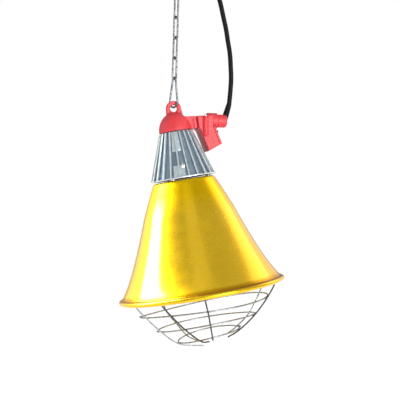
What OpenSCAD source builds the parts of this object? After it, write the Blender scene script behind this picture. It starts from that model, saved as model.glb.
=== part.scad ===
// Hanging heat lamp for young poultry and livestock: a spun shade under a finned vent cone and
// a moulded cap, hung on a long-link chain, with a wire guard below and a switch arm at its side.
// Millimetres, +Z up. The origin is where the S-hook rests on the rail that carries it.

/* [S-hook] */
// Wire diameter of the S-hook
hook_wire = 3.2; // [2.8:0.1:3.4]
// Centreline radius of the closed lower loop
hook_low_r = 7; // [6:0.5:8]
// Centreline radius of the open upper bend
hook_up_r = 11; // [10:0.5:13]
// Height of the upper bend's centre above the lower loop's centre
hook_span = 25; // [24:0.5:28]

/* [Chain] */
// Wire diameter of a chain link
link_wire = 2.3; // [2:0.1:2.3]
// Outer width of a chain link
link_width = 8.6; // [8.6:0.1:9]
// Inner length of a chain link
link_pitch = 25.8; // [25:0.1:27]
// Number of links, the swinging top link included
link_count = 9; // [9:1:9]
// Lean of the loaded chain from the vertical
chain_lean = 1.7; // [0:0.1:3]
// Wire diameter of the pear-shaped link in the cap's eye
pear_wire = 2.5; // [2.2:0.1:2.6]
// Centreline length of the pear-shaped link
pear_length = 38; // [36:0.5:42]
// Centreline radius of the pear's wide end
pear_low_r = 7; // [6:0.5:8]
// Centreline radius of the pear's narrow end
pear_up_r = 2.6; // [2.6:0.1:3]

/* [Posture] */
// Tilt of the lamp, held by the cord that is drawn up beside the chain
lamp_tilt = 9.3; // [5:0.1:12]
// Turn of the switch arm and the eye about the lamp's own axis
arm_turn = 14; // [10:1:18]

/* [Cap] */
// Outer radius of the cap's dome at its rim
cap_r = 21; // [20:0.5:21]
// Height of the dome
cap_h = 24.3; // [23:0.1:26]
// Wall thickness of the mouldings
wall = 2.4; // [2:0.1:2.6]
// Radius of the eye hole
eye_r = 4.5; // [4.3:0.1:4.8]
// Height of the eye hole above the dome's rim
eye_z = 29.3; // [29:0.1:30]
// Thickness of the eye plate
eye_t = 5; // [4:0.5:5]

/* [Vent cone] */
// Number of fins
fin_count = 22; // [18:2:26]
// Thickness of a fin
fin_t = 1.8; // [1.4:0.1:2.2]
// Depth of the grooves between the fins
fin_depth = 3; // [2.5:0.1:3]
// Length of the cone
cone_h = 58.5; // [56:0.5:58.5]
// Widening of the cone's radius for each millimetre of length
cone_slope = 0.342; // [0.33:0.001:0.35]

/* [Shade] */
// Radius of the shade's rolled rim at its centreline
rim_r = 102.6; // [102:0.1:103]
// Depth of the rim's centreline below the cap joint
rim_z = 202.4; // [202:0.1:203]
// Outer radius of the rolled rim's section
bead_r = 3; // [2.6:0.1:3]
// Sheet thickness, measured level
sheet = 1.1; // [0.9:0.1:1.2]

/* [Guard] */
// Wire diameter of the guard
guard_wire = 2; // [2:0.1:2.2]
// Radius of the guard's ring nearest the rim
ring_1_r = 81.4; // [80:0.2:82]
// Radius of the guard's middle ring
ring_2_r = 62.4; // [61:0.2:64]
// Radius of the guard's lowest ring
ring_3_r = 39.6; // [38:0.2:41]

/* [Cord] */
// Diameter of the cord
cord_d = 6; // [5:0.5:6]
// Mean radius of the put-away coil
coil_r = 36; // [35:0.5:37]

/* [Hidden] */
$fn = 64;
LINKS = [for (i = [1 : link_count - 1]) str("chain_link_", i)];
LEGS = [for (i = [1 : 6]) str("guard_leg_", i)];
RINGS = [for (i = [1 : 3]) str("guard_ring_", i)];

red = [0.85, 0.12, 0.14];
steel = [0.72, 0.74, 0.76];
gold = [0.86, 0.68, 0.12];
black = [0.07, 0.07, 0.08];
brass = [0.78, 0.62, 0.3];

// Clearance left between wires that rest in one another
wire_gap = 0.1;
hook_up_z = -(hook_up_r - hook_wire / 2);
hook_low_z = hook_up_z - hook_span;
link_r = (link_width - link_wire) / 2;
// Centreline length of a link, and the distance from one link's top wire to the next one's
link_length = link_pitch + link_wire;
link_step = link_pitch - wire_gap;
// Centre of the top link's upper wire, resting on the hook's lower loop
chain_top = [0, 0, hook_low_z - hook_low_r + (hook_wire + link_wire) / 2 + wire_gap];
pear_top = link_step * (link_count - 1) + link_length - (link_wire + pear_wire) / 2 - wire_gap;
pear_bottom = pear_top + pear_length;

// A place on the chain's line, at a length below the chain's top
function on_chain(s) = chain_top - s * [sin(chain_lean), 0, cos(chain_lean)];

// The eye hole's centre hangs a little below the pear link's wire
eye_drop = 1.5;
eye_x = 2;
eye_local = [eye_x * cos(arm_turn), eye_x * sin(arm_turn), eye_z];
function tilted(p) = [p.x * cos(lamp_tilt) - p.z * sin(lamp_tilt), p.y,
                      p.x * sin(lamp_tilt) + p.z * cos(lamp_tilt)];
lamp_at = on_chain(pear_bottom) - [0, 0, eye_drop] - tilted(eye_local);

// The switch arm's gland axis and the box that hangs below the arm's end
gland_at = [49.5, 0, 7];
collar_r = 10;
collar_from = -7.3;
collar_to = 5.8;
nose_r = 8.3;
nose_to = 18.6;
nose_round = 3;
box_top = [46.4, -1];
box_lean = 12.7;
box_height = 24.6;
// Depth of the switch's middle below the box's top
switch_mid = 13.2;
arm_half = 13.5;
root_half = 11;
root_to = 26.8;

// Outline of the switch housing from the side, radial distance against height
housing_outline = [[27.6, 15.2], [41, 13.8], [48.4, 13.1], [46.4, -1], [51.8, -25], [35.8, -31],
                   [28.9, -1.6], [27.6, -1.6]];

// The strain relief stands in the gland nut's end and leads the cord upwards
boot_base = [57, 16.3, -321.5];
boot_tip = [63, 17, -301.5];

// Route of the free cord, from the strain relief up to the coil
cord_route = [[63.1, 17, -300.2], [64.5, 17, -286], [65.5, 17, -270], [65, 16.5, -254],
              [64, 16, -238], [61.5, 16, -222], [59, 15.5, -206], [55.5, 15, -190],
              [52, 14.5, -174], [47.5, 14, -158.5], [41.5, 13.5, -143.5], [34, 12.5, -129.5],
              [24.5, 12, -116.5], [13, 11, -104.5], [0.5, 10, -93.5], [-13, 9, -83.5],
              [-27.5, 8, -75.5], [-40.8, 6.5, -69.3]];

// Coil of the unseen length, beside the chain above the lamp
coil_at = [-54.9, 0, -108];
layer_step = 5.2;
strand = cord_d / 2;
coil_half = 12;
// Route of the cord's last stretch, from the coil's middle out to the plug, from the coil's centre
tail_route = [[15.4, -6, 26.7], [8, -8, 29.8], [0, -10, 30.6], [-6.5, -12.5, 29.8],
              [-12, -15.5, 27.4], [-17, -18.5, 23.6], [-21, -21.5, 18.6], [-23.2, -24, 12.8],
              [-24, -25.6, 6.6], [-24, -26, 2.2]];
plug_at = [coil_at.x - 24, -26, coil_at.z + 2];
plug_boot_h = 14;
plug_h = 30;
pin_h = 19;
pin_r = 2;
pin_gap = 18.6;

// Cone radii at a depth below the cap joint: fin tips, groove floors and the inside
function fin_r(depth) = cap_r + cone_slope * depth;
function floor_r(depth) = fin_r(depth) - fin_depth;
function bore_r(depth) = fin_r(depth) - fin_depth - 2.2;
fin_top = 1;
plate_top = 1.2;
plate_low = 3.2;
lip_r = fin_r(cone_h) + 0.6;
lip_h = 1.2;
first_fin = -94.3;
fin_angle = 360 / fin_count;
spacer_r = 31.5;
spacer_h = 2;
spacer_angles = [-113, 7, 127];
shade_top = cone_h + lip_h + spacer_h;
mouth_r = 27;
bracket_turn = first_fin + fin_angle / 2;
bracket_depth = 45.3;
holder_top = 17;
holder_low = 52;
shell_r = 13.3;

// A point on a cubic Bezier curve
function bezier(p, t) = pow(1 - t, 3) * p[0] + 3 * t * pow(1 - t, 2) * p[1]
                      + 3 * t * t * (1 - t) * p[2] + pow(t, 3) * p[3];
shoulder = [[38.5, -shade_top], [44, -73], [56, -98.5], [60, -110.5]];
flare = [[60, -110.5], [71, -140.5], [87.5, -182.5], [102, -199.6]];
shade_curve = concat([for (i = [0 : 5]) bezier(shoulder, i / 6)],
                     [for (i = [0 : 12]) bezier(flare, i / 12)]);

// The guard's rings, and how each sways up and down with the direction about the axis
ring_radii = [ring_1_r, ring_2_r, ring_3_r];
ring_depths = [223.4, 243.1, 258.9];
ring_sway = [[1.3, -1.7, 0.2, 1.7], [1, -2.2, -0.5, -0.4], [2.5, 1.2, -0.7, -0.3]];
// Each leg's directions at the shade's rim and at each ring
leg_turns = [[-88, -87, -86, -84], [-120, -118, -114, -105], [-148, -149, -151, -157],
             [125, 129, 129, 134], [30, 28, 29, 27], [-18, -19, -21, -18]];
// Radius, direction and height of each leg's lower end
leg_tails = [[35, -83, -262], [22, -92, -265.6], [14, -130, -271], [19, 140, -268],
             [27, 24, -263.4], [25, -20, -265.6]];
// A leg's toe stands inside the rolled rim: radius and height of its two ends and of the leg's start
toe_tip = [92.6, -193];
toe_end = [96.9, -199.2];
leg_start = [96.6, -205.2];
// How far a leg's wire sinks into a ring's at their weld
weld = 0.3;
// Where each ring's lapped wire end lies, and its length in degrees on a ring of radius 1
ring_end_angles = [166, -172, 4];
ring_lap = 700;

function around(r, a, z) = [r * cos(a), r * sin(a), z];
function ring_point(i, a, out = 0) = let (w = ring_sway[i])
    around(ring_radii[i] + out, a, -ring_depths[i] + w[0] * cos(a) + w[1] * sin(a)
                                   + w[2] * cos(2 * a) + w[3] * sin(2 * a));
// A smooth line through points, each stretch divided into steps
function smooth(p, steps) = let (n = len(p), q = concat([2 * p[0] - p[1]], p, [2 * p[n - 1] - p[n - 2]]))
    concat([for (i = [1 : n - 1]) for (j = [0 : steps - 1]) let (t = j / steps)
        0.5 * (2 * q[i] + (q[i + 1] - q[i - 1]) * t
               + (2 * q[i - 1] - 5 * q[i] + 4 * q[i + 1] - q[i + 2]) * t * t
               + (3 * q[i] - q[i - 1] - 3 * q[i + 1] + q[i + 2]) * t * t * t)], [p[n - 1]]);
// The leg's centre where it crosses a ring, standing off outside it
function leg_cross(i, k) = let (
    a = leg_turns[i][k + 1], c = ring_point(k, a),
    before = k == 0 ? around(leg_start.x, leg_turns[i][0], leg_start.y)
                    : ring_point(k - 1, leg_turns[i][k]),
    after = k == 2 ? around(leg_tails[i][0], leg_tails[i][1], leg_tails[i][2])
                   : ring_point(k + 1, leg_turns[i][k + 2]),
    d = unit(after - before), level = [cos(a), sin(a), 0], side = unit(level - d * (level * d)))
    c + side * (guard_wire - weld);
function leg_route(i) = let (
    t = leg_turns[i][0], e = leg_tails[i], toe_mid = (toe_tip + toe_end) / 2) concat(
    [around(toe_tip.x, t, toe_tip.y), around(toe_mid.x + 0.2, t, toe_mid.y)],
    smooth([around(toe_end.x, t, toe_end.y), around(leg_start.x, t, leg_start.y), leg_cross(i, 0),
            leg_cross(i, 1), leg_cross(i, 2), around(e[0], e[1], e[2])], 5));

function unit(v) = v / norm(v);

// Inset of a convex-cornered outline given clockwise, by a wall thickness
function edge_line(p, i, d) = let (a = p[i], b = p[(i + 1) % len(p)], u = unit(b - a))
    [a + d * [u.y, -u.x], u];
function meet(l, m) = let (w = m[0] - l[0], k = l[1].x * m[1].y - l[1].y * m[1].x)
    l[0] + l[1] * (w.x * m[1].y - w.y * m[1].x) / k;
function inset(p, d) = [for (i = [0 : len(p) - 1])
    meet(edge_line(p, (i + len(p) - 1) % len(p), d), edge_line(p, i, d))];

module lamp_frame() translate(lamp_at) rotate([0, -lamp_tilt, 0]) children();
module arm_frame() lamp_frame() rotate([0, 0, arm_turn]) children();
module gland_frame() arm_frame() translate(gland_at) rotate([0, lamp_tilt, 0]) children();
// The box's outer face: X out of the face, Z up along it
module box_frame() arm_frame() translate([box_top.x, 0, box_top.y]) rotate([0, -box_lean, 0])
    children();
module chain_frame(s) translate(on_chain(s)) rotate([0, chain_lean, 0]) children();
// An upright outline, drawn radially against height, given a thickness
module slab(t) rotate([90, 0, 0]) linear_extrude(t, center = true) children();

// A straight wire between two points
module rod(p, q, d) {
    v = q - p;
    translate(p) rotate([0, acos(v.z / norm(v)), atan2(v.y, v.x)]) cylinder(h = norm(v), d = d);
}

// An upright bend of wire, its angles counted from +X towards +Z
module bend(r, d, from, to) rotate([90, 0, 0])
    rotate_extrude(angle = to - from, start = from) translate([r, 0]) circle(d = d, $fn = 32);

// Points of an arc in the upright plane, its angles counted from +X towards +Z
function arc_route(c, r, from, to, step = 12) = let (n = ceil(abs(to - from) / step))
    [for (i = [0 : n]) let (a = from + (to - from) * i / n) [c.x + r * cos(a), 0, c.y + r * sin(a)]];

// A flat-sided tube along a route of points, joined to its own start where it is a closed loop
module swept_tube(route, d, sides, closed = false) {
    n = len(route);
    function near_point(i) = closed ? route[(i + n) % n] : route[min(max(i, 0), n - 1)];
    points = [for (i = [0 : n - 1])
        let (t = unit(near_point(i + 1) - near_point(i - 1)),
             u = unit(cross([0, 1, 0.01], t)), v = cross(t, u))
        for (k = [0 : sides - 1])
            route[i] + d / 2 * (cos(360 * k / sides) * u + sin(360 * k / sides) * v)];
    around = [for (i = [0 : closed ? n - 1 : n - 2]) for (k = [0 : sides - 1])
        let (m = (k + 1) % sides, j = (i + 1) % n)
        [i * sides + k, i * sides + m, j * sides + m, j * sides + k]];
    ends = closed ? [] : [[for (k = [0 : sides - 1]) sides - 1 - k],
                          [for (k = [0 : sides - 1]) (n - 1) * sides + k]];
    polyhedron(points, concat(around, ends));
}

// A rounded rectangle made of squares and circles
module rounded_rect(w, h, r) {
    square([w - 2 * r, h], center = true);
    square([w, h - 2 * r], center = true);
    for (x = [-1, 1])
        for (y = [-1, 1])
            translate([x * (w / 2 - r), y * (h / 2 - r)]) circle(r = r);
}

// A flat-headed screw standing on Z = 0, its head above and its shank below
module screw(head_d, head_h, shank_d, shank_h) {
    difference() {
        cylinder(h = head_h, d = head_d);
        translate([-head_d, -0.4, head_h * 0.55]) cube([2 * head_d, 0.8, head_h]);
    }
    translate([0, 0, -shank_h]) cylinder(h = shank_h + 0.1, d = shank_d);
}

// ---- Hook and chain ----

module s_hook() color(steel) rotate([0, 0, -45]) {
    cross_angle = asin((hook_low_r + hook_up_r) / hook_span);
    swept_tube(concat(arc_route([0, hook_low_z], hook_low_r, 418, 180 - cross_angle),
                      arc_route([0, hook_up_z], hook_up_r, -cross_angle, 195)), hook_wire, 12);
}

// One long link, hanging from its upper wire at the origin
module link(turn) rotate([0, 0, turn]) {
    low = -link_length + link_r;
    translate([0, 0, -link_r]) bend(link_r, link_wire, 0, 180);
    translate([0, 0, low]) bend(link_r, link_wire, 180, 360);
    for (x = [-link_r, link_r])
        rod([x, 0, low], [x, 0, -link_r], link_wire);
}

module chain_link(i) color(steel) chain_frame(i * link_step) link(i % 2 == 0 ? 45 : -45);

module pear_link() color(steel) chain_frame(pear_top) rotate([0, 0, -43]) {
    low = -pear_length + pear_low_r;
    flank = asin((pear_low_r - pear_up_r) / (-pear_up_r - low));
    swept_tube(concat(arc_route([0, -pear_up_r], pear_up_r, flank, 180 - flank, 18),
                      arc_route([0, low], pear_low_r, 180 - flank, 360 + flank)),
               pear_wire, 12, true);
}

// ---- Cap and switch arm ----

module dome(r, h) rotate_extrude()
    polygon(concat([[0, 0]], [for (a = [0 : 5 : 90]) [r * cos(a), h * sin(a)]]));

module eye_plate() slab(eye_t) {
    translate([eye_x, eye_z]) circle(r = 9.5);
    polygon([[-9.6, 12], [-7.4, 30], [11.4, 30], [12.8, 12]]);
}

module cap_bosses() for (y = [-13, 13])
    translate([0, y, 0.1]) cylinder(h = 14, d = 6);

module head_cap() color(red) arm_frame() difference() {
    union() {
        difference() {
            union() {
                dome(cap_r, cap_h);
                eye_plate();
                slab(2 * root_half) polygon([[8, 0.2], [8, 17.1], [root_to, 15.3], [root_to, 0.2]]);
            }
            translate([0, 0, -0.1]) dome(cap_r - wall, cap_h - wall);
        }
        intersection() {
            cap_bosses();
            dome(cap_r - 1, cap_h - 1);
        }
    }
    translate([eye_x, 0, eye_z]) rotate([90, 0, 0]) {
        cylinder(h = 2 * eye_t, r = eye_r, center = true);
        for (side = [0, 180])
            rotate([side, 0, 0]) translate([0, 0, eye_t / 2 - 0.8])
                cylinder(h = 1.6, r1 = eye_r, r2 = eye_r + 1.6);
    }
    translate([14, -root_half + wall, 3]) cube([20, 2 * (root_half - wall), 10]);
    for (side = [-1, 1])
        translate([21, side * (root_half + 0.5) - 1, -1]) cube([1.8, 2, 14.5]);
    for (y = [-13, 13])
        translate([0, y, -1]) cylinder(h = 10, d = 3.1);
}

module housing_solid() slab(2 * arm_half) polygon(housing_outline);

module switch_housing() color(red) difference() {
    union() {
        arm_frame() {
            housing_solid();
            slab(2 * root_half - 3)
                polygon([[root_to + 0.1, 1.5], [root_to + 0.1, 14], [30, 14], [30, 1.5]]);
            for (side = [-1, 1])
                translate([36.2, side * arm_half, 0]) rotate([0, lamp_tilt, 0]) {
                    translate([0, 0, -9]) cylinder(h = 22, r = 3.2);
                    translate([0, 0, -9]) sphere(r = 3.2);
                }
        }
        gland_frame() translate([collar_from, 0, 0]) rotate([0, 90, 0])
            cylinder(h = collar_to - collar_from, r = collar_r);
    }
    arm_frame() {
        slab(2 * (arm_half - wall)) polygon(inset(housing_outline, wall));
        translate([root_to - 1, -7, 4]) cube([6, 14, 8]);
        for (side = [-1, 1])
            translate([36.2, side * arm_half, 0]) rotate([0, lamp_tilt, 0]) {
                translate([0, 0, 1]) cylinder(h = 13, r = 1.3);
                translate([0, 0, 12.9]) cylinder(h = 5, r = 2.6);
            }
    }
    box_frame() translate([-2.8, -arm_half + wall, -box_height + 1.4])
        cube([6.4, 2 * (arm_half - wall), box_height - 2.6]);
    box_frame() for (side = [-1, 1])
        translate([-9, side * 12.2, -box_height / 2]) rotate([0, 90, 0]) cylinder(h = 12, r = 0.8);
    gland_frame() translate([collar_from - 4, 0, 0]) rotate([0, 90, 0])
        cylinder(h = 30, r = 5.6);
}

module housing_screws() color(steel) arm_frame() for (side = [-1, 1])
    translate([36.2, side * arm_half, 0]) rotate([0, lamp_tilt, 0])
        translate([0, 0, 13.05]) screw(4.6, 1.6, 2.4, 11);

module switch_cover() color(red) difference() {
    box_frame() difference() {
        translate([0.1, -arm_half, -box_height]) cube([2, 2 * arm_half, box_height - 0.6]);
        translate([-1, -6.6, -switch_mid - 9]) cube([4, 13.2, 18]);
        for (side = [-1, 1])
            translate([-1, side * 12.2, -box_height / 2]) rotate([0, 90, 0])
                cylinder(h = 4, r = 1);
    }
    gland_frame() translate([collar_from, 0, 0]) rotate([0, 90, 0])
        cylinder(h = 20, r = collar_r + 0.15);
}

module cover_screws() color(steel) box_frame() for (side = [-1, 1])
    translate([2.15, side * 12.2, -box_height / 2]) rotate([0, 90, 0]) screw(2.4, 1.1, 1.4, 8);

module switch_body() color(black) box_frame() translate([0, 0, -switch_mid]) difference() {
    union() {
        translate([2.15, -8.6, -9.6]) cube([1.6, 17.2, 19.2]);
        translate([-8.4, -6.4, -8.8]) cube([10.6, 12.8, 17.6]);
        for (z = [-5, 5])
            translate([-10.6, -2.4, z - 0.4]) cube([2.4, 4.8, 0.8]);
    }
    translate([-3.6, -5.6, -8.2]) cube([8, 11.2, 16.4]);
}

rocker_rest = 10;
module rocker() color(black) box_frame() translate([0.8, 0, -switch_mid])
    rotate([0, rocker_rest, 0]) slab(10.4)
        polygon([[-2.6, -6.6], [-2.6, 6.6], [4.4, 7.3], [3.4, 3.3], [3, 0], [3.4, -3.3], [4.4, -7.3]]);

module gland_nut() color(red) difference() {
    gland_frame() rotate([0, 90, 0]) rotate_extrude() {
        difference() {
            union() {
                translate([0, collar_to + 0.1]) square([nose_r, nose_to - nose_round - collar_to - 0.1]);
                translate([0, nose_to - nose_round - 0.1])
                    square([nose_r - nose_round, nose_round + 0.1]);
                intersection() {
                    translate([nose_r - nose_round, nose_to - nose_round]) circle(r = nose_round);
                    translate([0, nose_to - nose_round]) square([nose_r, nose_round]);
                }
                translate([0, collar_to - 3]) square([5.5, 3.2]);
            }
            translate([-1, collar_to - 4]) square([4.6, 9]);
            translate([-1, collar_to + 4]) square([6.6, 6.4]);
        }
    }
    rod(boot_base - 0.01 * (boot_tip - boot_base), boot_tip, 8.2);
}

module gland_seal() color(black) gland_frame() rotate([0, 90, 0])
    translate([0, 0, -3]) difference() {
        cylinder(h = 5.6, r = 5.4);
        translate([0, 0, -1]) cylinder(h = 8, r = 3.4);
    }

module cord_boot() color(black) {
    v = boot_tip - boot_base;
    translate(boot_base) rotate([0, acos(v.z / norm(v)), atan2(v.y, v.x)])
        difference() {
            rotate_extrude() {
                polygon([[0, 0], [3.9, 0], [3.9, 5], [3.2, norm(v)], [0, norm(v)]]);
                for (i = [0 : 3])
                    translate([3.7 - 0.12 * i, 7.2 + 3 * i]) circle(r = 0.45, $fn = 24);
            }
            translate([0, 0, -1]) cylinder(h = 4, r = 1.6);
        }
}

// ---- Electrical parts inside the cap ----

module terminal_block() color([0.93, 0.92, 0.88]) arm_frame() difference() {
    translate([-5, -7, 0.1]) cube([12, 14, 9]);
    for (y = [-3.5, 3.5]) {
        translate([-6, y, 4.5]) rotate([0, 90, 0]) cylinder(h = 14, r = 1.6);
        for (x = [-2, 4])
            translate([x, y, 4]) cylinder(h = 6, r = 1.35);
    }
}

module terminal_screws() color(brass) arm_frame() for (x = [-2, 4])
    for (y = [-3.5, 3.5])
        translate([x, y, 6.2]) cylinder(h = 2.2, r = 1.25);

module inner_wire(points, tint) color(tint) arm_frame() swept_tube(points, 1.8, 8);

module live_wire() inner_wire(
    [[63, 1.3, 5.2], [57, 1.3, 5.8], [50, 1.6, 6.6], [44.8, 2, 6.8], [41, 3, 2.6],
     [38, 2, -3], [36.7, 0.8, -8], [36.9, 0, -12.3]], [0.45, 0.27, 0.15]);

module switched_wire() inner_wire(
    [[39.2, -4, -14], [36.6, -4.4, -10.5], [35, -4.4, -5], [34, -4.4, 1], [32, -4, 5.5],
     [27, -3.6, 6.6], [18, -3.5, 6], [11, -3.5, 4.6], [7.5, -3.5, 4.6]], [0.1, 0.1, 0.1]);

module neutral_wire() inner_wire(
    [[63, -1.3, 5.2], [57, -1.3, 5.8], [50, -1, 7.2], [42, 1, 8.6], [34, 3, 8.4],
     [26, 3.6, 7.4], [18, 3.5, 6], [11, 3.5, 4.6], [7.5, 3.5, 4.6]], [0.15, 0.3, 0.7]);

module holder_leads() for (y = [-1, 1])
    inner_wire([[-6, 3.5 * y, 4.6], [-9.4, 3.6 * y, 3.6], [-10.4, 3.8 * y, 0], [-10.4, 4.4 * y, -5],
                [-9.6, 6.4 * y, -10], [-8, 8.4 * y, -13], [-6, 9.6 * y, -13.6]], [0.9, 0.9, 0.88]);

// ---- Vent cone and lamp holder ----

lead_hole_x = -10.4;
module lead_holes() for (y = [-4, 4])
    translate([lead_hole_x, y, -10]) cylinder(h = 20, r = 2.2);

module cap_screw_holes(r) for (y = [-13, 13])
    translate([0, y, -20]) cylinder(h = 30, r = r);

module heat_washer() color([0.32, 0.27, 0.22]) arm_frame() difference() {
    translate([0, 0, -1.15]) cylinder(h = 1.1, r = 17.7);
    lead_holes();
    cap_screw_holes(2.2);
}

module cap_screws() color(steel) arm_frame() for (y = [-13, 13])
    translate([0, y, -plate_low - 0.05]) rotate([180, 0, 0]) screw(6, 2.2, 3, 11.5);

// A band of the groove floor, from one depth to another, stood out by a height
module pad_band(from, to, stand, start, angle) rotate_extrude(angle = angle, start = start)
    polygon([[floor_r(from) - 0.4, -from], [floor_r(from) + stand, -from],
             [floor_r(to) + stand, -to], [floor_r(to) - 0.4, -to]]);

module fins() for (i = [0 : fin_count - 1])
    rotate([0, 0, first_fin + i * fin_angle])
        slab(fin_t) polygon([[floor_r(fin_top) - 0.5, -fin_top], [fin_r(fin_top), -fin_top],
                             [fin_r(cone_h) , -cone_h - 0.1], [floor_r(cone_h) - 0.6, -cone_h - 0.1]]);

module vent_cone() color([0.66, 0.7, 0.73]) lamp_frame() difference() {
    union() {
        rotate_extrude(start = first_fin + fin_angle / 2)
            polygon([[0, -plate_top], [floor_r(plate_top), -plate_top], [floor_r(cone_h), -cone_h],
                     [lip_r, -cone_h], [lip_r, -cone_h - lip_h],
                     [bore_r(cone_h + lip_h), -cone_h - lip_h], [bore_r(plate_low), -plate_low],
                     [0, -plate_low]]);
        fins();
        for (side = [0, 180]) {
            pad_band(fin_top + 0.4, 26, 2, first_fin + side - 11, 22);
            pad_band(44, cone_h, 2, first_fin + side - 11, 22);
        }
        for (a = spacer_angles)
            rotate([0, 0, a]) translate([spacer_r, 0, -cone_h - lip_h]) cylinder(h = 6, r = 4.2);
    }
    for (a = spacer_angles)
        rotate([0, 0, a]) translate([spacer_r, 0, -cone_h - lip_h - 1]) cylinder(h = 9, r = 2.05);
    rotate([0, 0, arm_turn]) {
        lead_holes();
        cap_screw_holes(1.7);
    }
    for (side = [0, 180])
        rotate([0, 0, bracket_turn + side]) translate([0, 0, -bracket_depth])
            rotate([0, 90, 0]) {
                cylinder(h = 60, r = 1.65);
                translate([0, 0, floor_r(bracket_depth) + 2.05]) cylinder(h = 20, r = 2.7);
            }
}

module bracket_ear() slab(9) polygon(
    [[bore_r(29.5) - 2.2, -29.5], [bore_r(29.5) - 0.7, -29.5], [bore_r(50) - 0.7, -50],
     [bore_r(50) - 2.2, -50]]);

module holder_bracket() color(steel) lamp_frame() difference() {
    union() {
        translate([0, 0, -31]) cylinder(h = 1.5, r = bore_r(29.5) - 1);
        for (side = [0, 180])
            rotate([0, 0, bracket_turn + side]) bracket_ear();
    }
    translate([0, 0, -60]) cylinder(h = 40, r = 18.4);
    for (side = [0, 180])
        rotate([0, 0, bracket_turn + side]) translate([0, 0, -bracket_depth])
            rotate([0, 90, 0]) cylinder(h = 60, r = 1.65);
}

module bracket_screws() color([0.85, 0.86, 0.87]) lamp_frame() for (side = [0, 180])
    rotate([0, 0, bracket_turn + side]) translate([floor_r(bracket_depth) + 2.15, 0, -bracket_depth])
        rotate([0, 90, 0]) screw(5, 1.8, 3, 9);

module holder_body() color([0.95, 0.94, 0.9]) lamp_frame() difference() {
    rotate_extrude() polygon([[0, -holder_top], [17.5, -holder_top], [20, -holder_top - 2.5],
        [20, -29.4], [18, -29.4], [18, -44], [18, -50], [17, -holder_low], [0, -holder_low]]);
    translate([0, 0, -holder_low - 1]) cylinder(h = 26, r = shell_r + 0.75);
    rotate([0, 0, arm_turn]) for (y = [-1, 1])
        translate([-6, 11 * y, -24]) cylinder(h = 10, r = 1.55);
}

module screw_shell() color(brass) lamp_frame() difference() {
    translate([0, 0, -50.5]) cylinder(h = 18.5, r = shell_r + 0.6);
    translate([0, 0, -52]) cylinder(h = 26, r = shell_r);
}

module centre_contact() color(brass) lamp_frame() {
    translate([0, 0, -28.2]) cylinder(h = 1.1, r = 5);
    slab(5) polygon([[-4, -28.1], [4, -28.1], [-2, -31], [-3, -30.8]]);
}

module holder_screws() color(brass) arm_frame() for (y = [-1, 1])
    translate([-6, 11 * y, -holder_top + 0.05]) screw(5, 1.6, 2.9, 6);

// ---- Shade ----

module shade_spacers() color(steel) lamp_frame() for (a = spacer_angles)
    rotate([0, 0, a]) translate([spacer_r, 0, -shade_top + 0.02]) difference() {
        cylinder(h = spacer_h - 0.04, r = 3.6);
        translate([0, 0, -1]) cylinder(h = 5, r = 2.1);
    }

module shade_screws() color(steel) lamp_frame() for (a = spacer_angles)
    rotate([0, 0, a]) translate([spacer_r, 0, -shade_top - 1.05])
        rotate([180, 0, 0]) screw(7, 2.4, 3.9, 8);

// The spun sheet, its rim rolled round a wire
module reflector() color(gold) lamp_frame() difference() {
    union() {
        rotate_extrude() polygon(concat(
            [[mouth_r, -shade_top]], shade_curve, [[101.9, -200.8], [100.8, -200.8]],
            [for (i = [len(shade_curve) - 1 : -1 : 1]) shade_curve[i] - [sheet, 0]],
            [[38.5 - sheet, -shade_top - 1], [mouth_r, -shade_top - 1]]));
        translate([0, 0, -rim_z]) rotate_extrude() translate([rim_r, 0]) circle(r = bead_r);
    }
    for (a = spacer_angles)
        rotate([0, 0, a]) translate([spacer_r, 0, -shade_top - 3]) cylinder(h = 6, r = 2.2);
}

// ---- Guard ----

module guard_leg(i) color(steel) lamp_frame() swept_tube(leg_route(i), guard_wire, 10);

module guard_ring(i) color(steel) lamp_frame()
    swept_tube([for (a = [0 : 6 : 354]) ring_point(i, a)], guard_wire, 10, true);

// The end of each ring's wire, lapped outside the ring and welded to it
module ring_laps() color(steel) lamp_frame() for (i = [0 : 2])
    swept_tube([for (t = [0 : 0.25 : 1]) ring_point(i, ring_end_angles[i] + t * ring_lap / ring_radii[i],
                                                    guard_wire - weld + 0.6 * t)],
               guard_wire - 0.2, 10);

// ---- Cord, coil and plug ----

module cord_free() color(black) swept_tube(cord_route, cord_d, 12);

module coil_frame() translate(coil_at) rotate([90, 0, 0]) children();

module cord_coil() color(black) coil_frame() rotate_extrude(start = 45) polygon(
    [for (s = [[-1.5, -8], [-0.5, -coil_half], [0.5, -coil_half], [1.5, -8],
               [1.5, 8], [0.5, coil_half], [-0.5, coil_half], [-1.5, 8]])
        [coil_r + s.x * layer_step + (abs(s.x) > 1 ? sign(s.x) * 0.4 : 0), s.y]]);

module cord_tail() color(black) translate(coil_at) swept_tube(tail_route, cord_d, 12);

// A flat band of strap, standing on edge around a bundle
module band(w, h, tall) translate([0, 0, -tall / 2]) linear_extrude(tall) difference() {
    rounded_rect(w + 2.4, h + 2.4, 4.2);
    rounded_rect(w, h, 3);
}

module chain_strap() color([0.12, 0.13, 0.16]) {
    left = coil_at.x + coil_r - 9;
    right = on_chain(70).x + link_width / 2 + 0.9;
    translate([(left + right) / 2, 0, coil_at.z]) band(right - left, 2 * coil_half + 1, 9);
}

module coil_tie() color([0.12, 0.13, 0.16])
    translate(coil_at - [coil_r, 0, 0]) band(18, 2 * coil_half + 1, 8);

module plug_boot() color(black) translate(plug_at - [0, 0, plug_boot_h])
    rotate_extrude() {
        polygon([[0, 0], [5.6, 0], [5, 3], [3.5, plug_boot_h], [0, plug_boot_h]]);
        for (i = [0 : 2])
            translate([4.6 - 0.35 * i, 4.4 + 3 * i]) circle(r = 0.6, $fn = 24);
    }

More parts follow.
